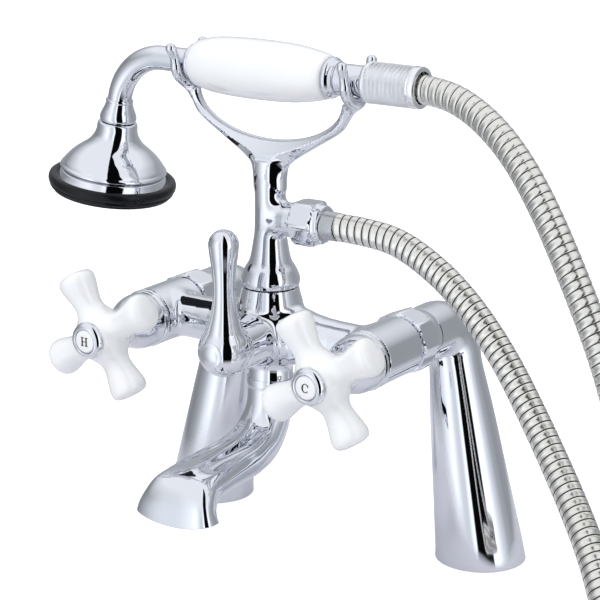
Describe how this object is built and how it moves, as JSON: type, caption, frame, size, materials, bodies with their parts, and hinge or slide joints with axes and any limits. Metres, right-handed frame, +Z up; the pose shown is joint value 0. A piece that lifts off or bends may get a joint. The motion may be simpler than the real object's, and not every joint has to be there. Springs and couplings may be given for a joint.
{
  "type": "bath shower mixer",
  "caption": "Deck-mounted bath shower mixer with splayed legs, cross handles, a spout, a diverter lever and a handset resting in a fork, fed by a coiled metal hose.",
  "frame": {"origin": "on the deck, midway between the two leg centres", "axes": "+Z up, -Y towards the bather (the spout's side), +X towards the cold handle"},
  "size_m": [0.583, 0.2455, 0.2792],
  "materials": {
    "chrome": "polished chrome plate on brass",
    "porcelain": "glossy white glaze",
    "brass": "machined",
    "seal_rubber": "moulded",
    "rose_rubber": "smooth black moulding",
    "disc_ceramic": "lapped",
    "spray_plastic": "moulded",
    "steel": "machined",
    "hose_steel": "folded stainless strip, satin"
  },
  "bodies": {
    "mixer": {"column_seal": "seal_rubber", "cradle_column": "chrome", "diverter_cartridge": "brass", "diverter_seal": "seal_rubber", "hose_coil": "hose_steel", "hose_ferrule_lower": "steel", "hose_lower": "hose_steel", "hose_upper": "hose_steel", "left_base_seal": "seal_rubber", "left_bonnet": "chrome", "left_cartridge_seal": "seal_rubber", "left_fixed_disc": "disc_ceramic", "left_leg": "chrome", "left_union_nut": "chrome", "left_union_tail": "brass", "left_union_washer": "seal_rubber", "left_valve_cartridge": "brass", "mixer_body": "chrome", "outlet_nut": "chrome", "outlet_washer": "seal_rubber", "right_base_seal": "seal_rubber", "right_bonnet": "chrome", "right_cartridge_seal": "seal_rubber", "right_fixed_disc": "disc_ceramic", "right_leg": "chrome", "right_union_nut": "chrome", "right_union_tail": "brass", "right_union_washer": "seal_rubber", "right_valve_cartridge": "brass", "spout": "chrome", "spout_seal": "seal_rubber"},
    "hot_handle": {"left_turning_disc": "disc_ceramic", "left_spindle": "brass", "left_handle": "porcelain", "left_handle_screw": "steel", "left_index_bezel": "chrome", "left_index_disc": "porcelain"},
    "cold_handle": {"right_turning_disc": "disc_ceramic", "right_spindle": "brass", "right_handle": "porcelain", "right_handle_screw": "steel", "right_index_bezel": "chrome", "right_index_disc": "porcelain"},
    "diverter": {"diverter_spindle": "brass", "diverter_lever": "chrome", "diverter_screw": "steel", "diverter_cap": "chrome"},
    "handset": {"handset_pipe": "chrome", "handset_connector": "chrome", "grip": "porcelain", "grip_ring_left": "chrome", "grip_ring_right": "chrome", "knurled_nut": "chrome", "hose_washer": "seal_rubber", "hose_ferrule_upper": "steel", "rose_collar": "chrome", "rose_bell": "chrome", "rose_ring": "chrome", "rubber_ring": "rose_rubber", "spray_plate": "spray_plastic"}
  },
  "joints": [
    {"name": "hot_turn", "type": "hinge", "parent": "mixer", "child": "hot_handle", "pos_m": [-0.0675, -0.122, 0.1277], "axis": [0, 1, 0], "range_deg": [-90, 0]},
    {"name": "cold_turn", "type": "hinge", "parent": "mixer", "child": "cold_handle", "pos_m": [0.0675, -0.122, 0.1277], "axis": [0, 1, 0], "range_deg": [0, 90]},
    {"name": "diverter_turn", "type": "hinge", "parent": "mixer", "child": "diverter", "pos_m": [0, -0.1087, 0.1277], "axis": [0, 1, 0], "range_deg": [-45, 45]},
    {"name": "handset_lift", "type": "slide", "parent": "mixer", "child": "handset", "axis": [0, 0, 1], "range_m": [0, 0.04], "deforming": ["hose_upper"]}
  ]
}
